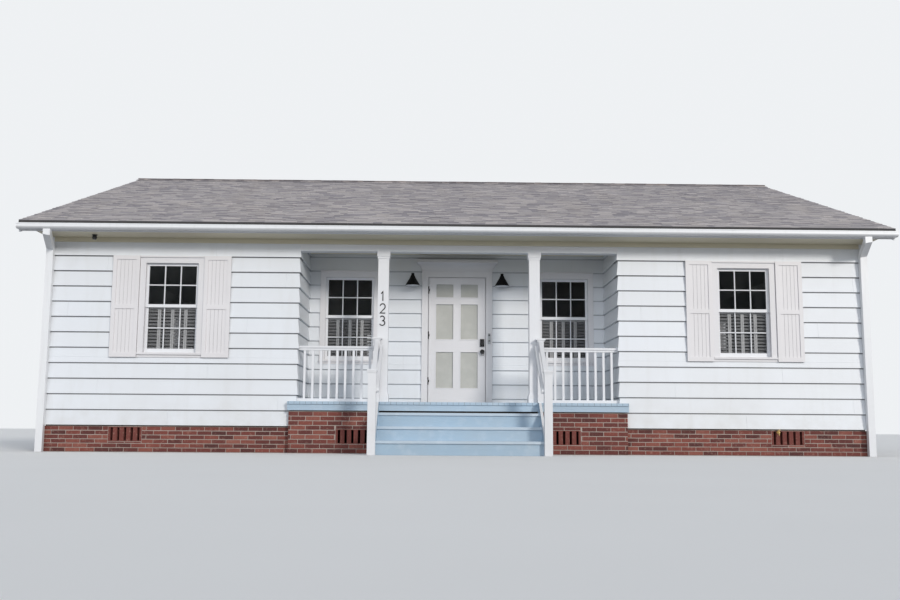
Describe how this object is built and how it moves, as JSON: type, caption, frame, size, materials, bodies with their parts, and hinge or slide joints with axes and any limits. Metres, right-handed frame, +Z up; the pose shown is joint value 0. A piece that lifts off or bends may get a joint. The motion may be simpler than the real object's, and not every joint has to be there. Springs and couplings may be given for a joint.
{
  "type": "bungalow",
  "caption": "One-storey side-gabled bungalow with clapboard walls, a recessed front porch with posts, railings and a stair, and a double-leaf glazed and solid front door.",
  "frame": {"origin": "ground level at the middle of the porch's brick front wall, in the plane of the front wall's face and on the middle line of the front door", "axes": "+X to the right seen from the front, +Y back into the house, +Z up"},
  "size_m": [12.82, 11.773, 5.3572],
  "materials": {
    "siding": "satin paint",
    "trim": "satin paint",
    "white_trim": "satin paint",
    "brick": "matte",
    "porch_paint": "satin paint",
    "inside_lining": "matte paint",
    "floorboards": "satin",
    "shingle": "matte",
    "gutter_metal": "gloss paint",
    "window_paint": "satin paint",
    "glass": "gloss",
    "shutter_paint": "satin paint",
    "door_paint": "satin paint",
    "black_metal": "satin",
    "brass": "satin",
    "fitting_plastic": "satin"
  },
  "bodies": {
    "house": {"back_wall": "siding", "front_wall_left": "siding", "front_wall_right": "siding", "side_wall_left": "siding", "side_wall_right": "siding", "porch_side_walls": "siding", "porch_back_wall_left": "siding", "porch_back_wall_right": "siding", "wall_over_door": "siding", "corner_boards": "white_trim", "eaves": "white_trim", "rake_boards": "white_trim", "porch_beam": "white_trim", "porch_ceiling": "white_trim", "porch_posts": "white_trim", "porch_railings": "white_trim", "stair_rails": "white_trim", "porch_rim": "porch_paint", "porch_floor": "porch_paint", "stair_treads": "porch_paint", "stair_frame": "porch_paint", "ceiling": "inside_lining", "floor": "floorboards", "roof_front": "shingle", "roof_back": "shingle", "gutters": "gutter_metal", "downspouts": "gutter_metal", "foundation_front": "brick", "foundation_porch": "brick", "foundation_sides": "brick", "foundation_back": "brick", "foundation_vents": "brick", "front_window_frames": "trim", "rear_window_frames": "trim", "front_window_sashes": "window_paint", "rear_window_sashes": "window_paint", "front_window_glass": "glass", "rear_window_glass": "glass", "cafe_shutters": "window_paint", "wing_shutters": "shutter_paint", "door_frame": "trim", "door_crown": "trim", "threshold": "porch_paint", "frame_hinges": "black_metal", "porch_lamps": "black_metal", "doorbell": "fitting_plastic", "eave_camera": "fitting_plastic", "hose_bib": "brass"},
    "glazed_door": {"glazed_door": "door_paint", "glazed_door_glass": "glass", "glazed_door_hardware": "black_metal"},
    "entry_door": {"entry_door": "door_paint", "entry_door_hardware": "black_metal"}
  },
  "joints": [
    {"name": "glazed_door_hinge", "type": "hinge", "parent": "house", "child": "glazed_door", "pos_m": [-0.4595, 1.207, 0.767], "axis": [0, 0, -1], "range_deg": [0, 100]},
    {"name": "entry_door_hinge", "type": "hinge", "parent": "house", "child": "entry_door", "pos_m": [-0.4595, 1.368, 0.767], "axis": [0, 0, 1], "range_deg": [0, 95]}
  ]
}
